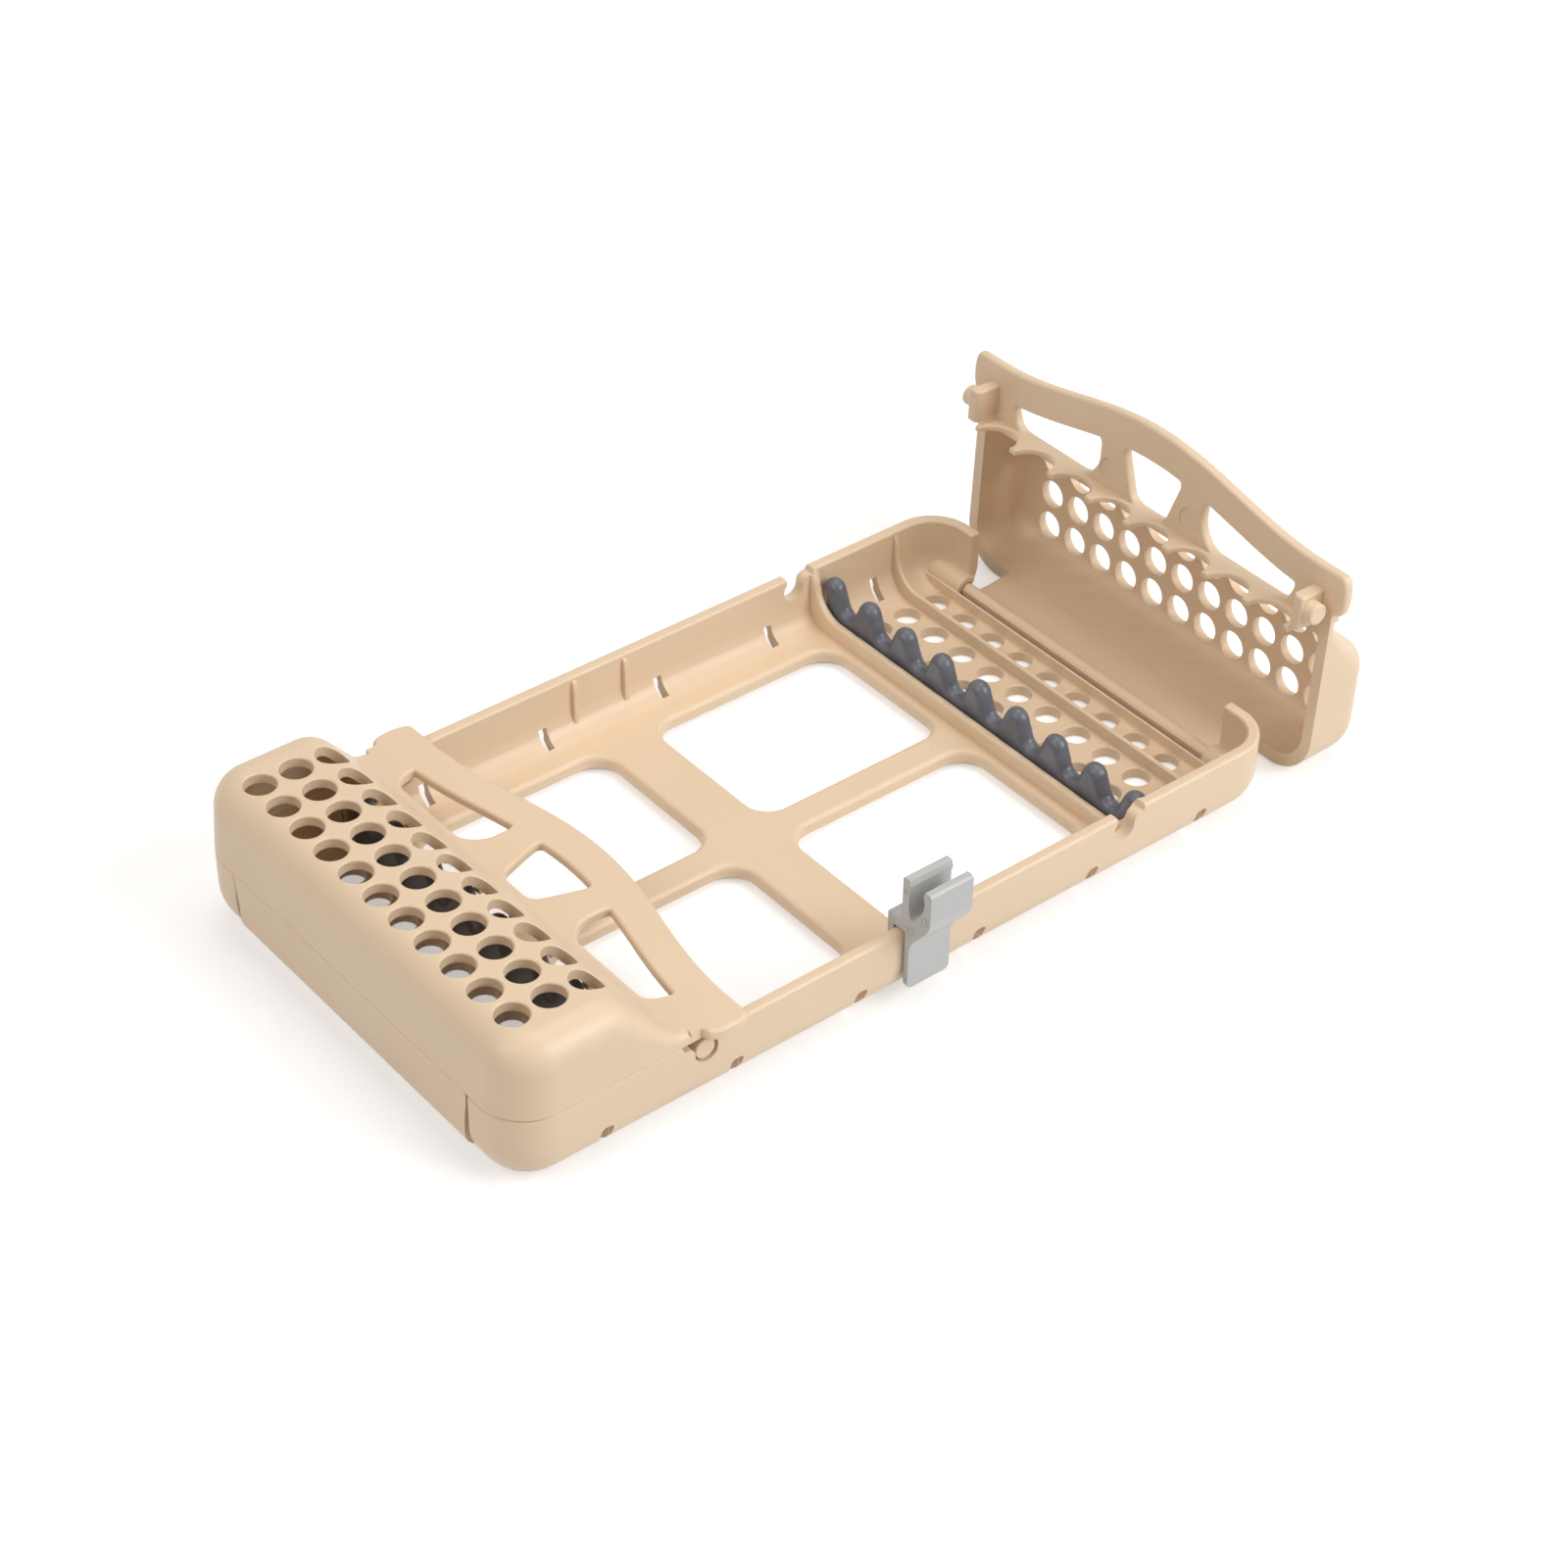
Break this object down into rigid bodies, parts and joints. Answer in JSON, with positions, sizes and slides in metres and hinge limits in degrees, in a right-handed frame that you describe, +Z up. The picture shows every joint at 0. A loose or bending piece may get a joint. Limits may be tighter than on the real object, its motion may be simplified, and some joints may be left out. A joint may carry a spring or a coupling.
{
  "type": "dental instrument cassette",
  "caption": "Perforated tray with a hinged, vented lid at each end, wavy rails that hold instruments apart, and a clip on one side wall.",
  "frame": {"origin": "on the underside of the tray, under the middle of the cross between its floor windows", "axes": "+X along the tray from the shut lid to the open one, -Y the side with the clip, +Z up"},
  "size_m": [0.2329, 0.1253, 0.0635],
  "materials": {
    "beige_plastic": "satin",
    "silicone": "satin",
    "grey_plastic": "satin"
  },
  "bodies": {
    "tray": {"tray": "beige_plastic", "silicone_rail_left": "silicone", "silicone_rail_right": "silicone"},
    "lid_left": {"lid_left": "beige_plastic"},
    "lid_right": {"lid_right": "beige_plastic"},
    "side_clip": {"side_clip": "grey_plastic"}
  },
  "joints": [
    {"name": "left_lid_hinge", "type": "hinge", "parent": "tray", "child": "lid_left", "pos_m": [-0.0983, 0, 0.0051], "axis": [0, -1, 0], "range_deg": [0, 92.4]},
    {"name": "right_lid_hinge", "type": "hinge", "parent": "tray", "child": "lid_right", "pos_m": [0.0983, 0, 0.0051], "axis": [0, -1, 0], "range_deg": [0, 92.4]},
    {"name": "clip_lift", "type": "slide", "parent": "tray", "child": "side_clip", "axis": [0, 0, 1], "range_m": [0, 0.02]}
  ]
}
